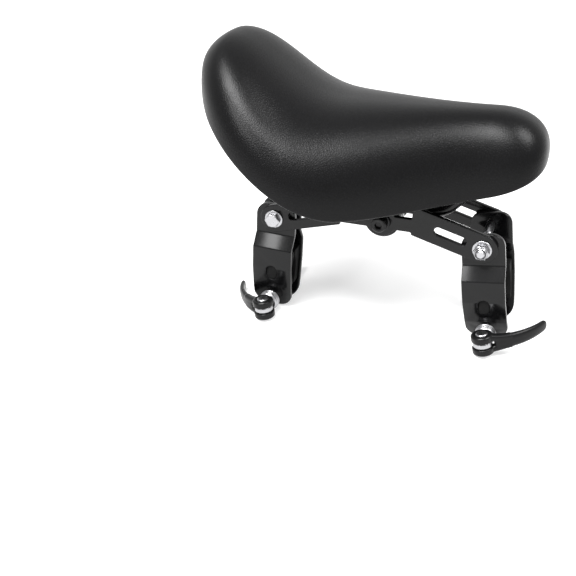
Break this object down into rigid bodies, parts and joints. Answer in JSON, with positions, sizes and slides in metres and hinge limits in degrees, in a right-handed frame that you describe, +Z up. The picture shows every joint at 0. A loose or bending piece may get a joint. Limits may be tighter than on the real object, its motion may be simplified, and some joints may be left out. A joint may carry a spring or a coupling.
{
  "type": "top-tube child bike saddle",
  "caption": "Padded child's bike saddle on a bowed plate bracket whose quick-release clamps grip the bicycle's top tube; the saddle tilts and slides on its rails.",
  "frame": {"origin": "on the axis of the top tube that the clamps hold, midway between the clamp bolts", "axes": "+X forward to the saddle's nose, along the tube; +Y to the rider's left; +Z up"},
  "size_m": [0.2568, 0.1562, 0.2045],
  "materials": {
    "leatherette": "satin",
    "base_plastic": "matte",
    "black_paint": "gloss",
    "zinc_steel": "satin",
    "pad_rubber": "matte"
  },
  "bodies": {
    "bracket": {"side_plate_right": "black_paint", "side_plate_left": "black_paint", "front_clamp_bolt": "zinc_steel", "front_clamp_nut": "zinc_steel", "front_clamp_washers": "zinc_steel", "rear_clamp_bolt": "zinc_steel", "rear_clamp_nut": "zinc_steel", "rear_clamp_washers": "zinc_steel", "saddle_bolt": "black_paint", "saddle_nut": "black_paint", "saddle_washers": "black_paint"},
    "front_clamp": {"front_cheek_right": "black_paint", "front_pad_right": "pad_rubber", "front_rod": "zinc_steel", "front_cup_washer": "zinc_steel", "front_lever_pivot": "zinc_steel"},
    "front_far_cheek": {"front_cheek_left": "black_paint", "front_pad_left": "pad_rubber", "front_rod_nut": "zinc_steel"},
    "front_lever": {"front_lever": "black_paint"},
    "rear_clamp": {"rear_cheek_right": "black_paint", "rear_pad_right": "pad_rubber", "rear_rod": "zinc_steel", "rear_cup_washer": "zinc_steel", "rear_lever_pivot": "zinc_steel"},
    "rear_far_cheek": {"rear_cheek_left": "black_paint", "rear_pad_left": "pad_rubber", "rear_rod_nut": "zinc_steel"},
    "rear_lever": {"rear_lever": "black_paint"},
    "rail_clamp": {"outer_jaw_right": "black_paint", "outer_jaw_left": "black_paint", "inner_jaw_right": "black_paint", "inner_jaw_left": "black_paint", "jaw_spacer": "zinc_steel"},
    "saddle": {"saddle_cover": "leatherette", "saddle_base_pan": "base_plastic", "rail_right": "black_paint", "rail_left": "black_paint"}
  },
  "joints": [
    {"name": "front_clamp_swing", "type": "hinge", "parent": "bracket", "child": "front_clamp", "pos_m": [0.076, 0, 0.044], "axis": [0, 1, 0], "range_deg": [-32, 28]},
    {"name": "front_cheek_slide", "type": "slide", "parent": "front_clamp", "child": "front_far_cheek", "axis": [0, 1, 0], "range_m": [-0.022, 0]},
    {"name": "front_lever_turn", "type": "hinge", "parent": "front_clamp", "child": "front_lever", "pos_m": [0.08525, -0.03805, -0.02185], "axis": [0.2079, 0, -0.9781], "range_deg": [0, 160]},
    {"name": "rear_clamp_swing", "type": "hinge", "parent": "bracket", "child": "rear_clamp", "pos_m": [-0.076, 0, 0.044], "axis": [0, 1, 0], "range_deg": [-22, 38]},
    {"name": "rear_cheek_slide", "type": "slide", "parent": "rear_clamp", "child": "rear_far_cheek", "axis": [0, 1, 0], "range_m": [-0.002, 0.026]},
    {"name": "rear_lever_turn", "type": "hinge", "parent": "rear_clamp", "child": "rear_lever", "pos_m": [-0.07832, -0.04241, -0.02246], "axis": [-0.1392, 0, 0.9903], "range_deg": [0, 160]},
    {"name": "saddle_tilt", "type": "hinge", "parent": "bracket", "child": "rail_clamp", "pos_m": [0.004, 0, 0.054], "axis": [0, 1, 0], "range_deg": [-12, 12]},
    {"name": "saddle_slide", "type": "slide", "parent": "rail_clamp", "child": "saddle", "axis": [1, 0, 0], "range_m": [-0.01, 0.01]}
  ]
}
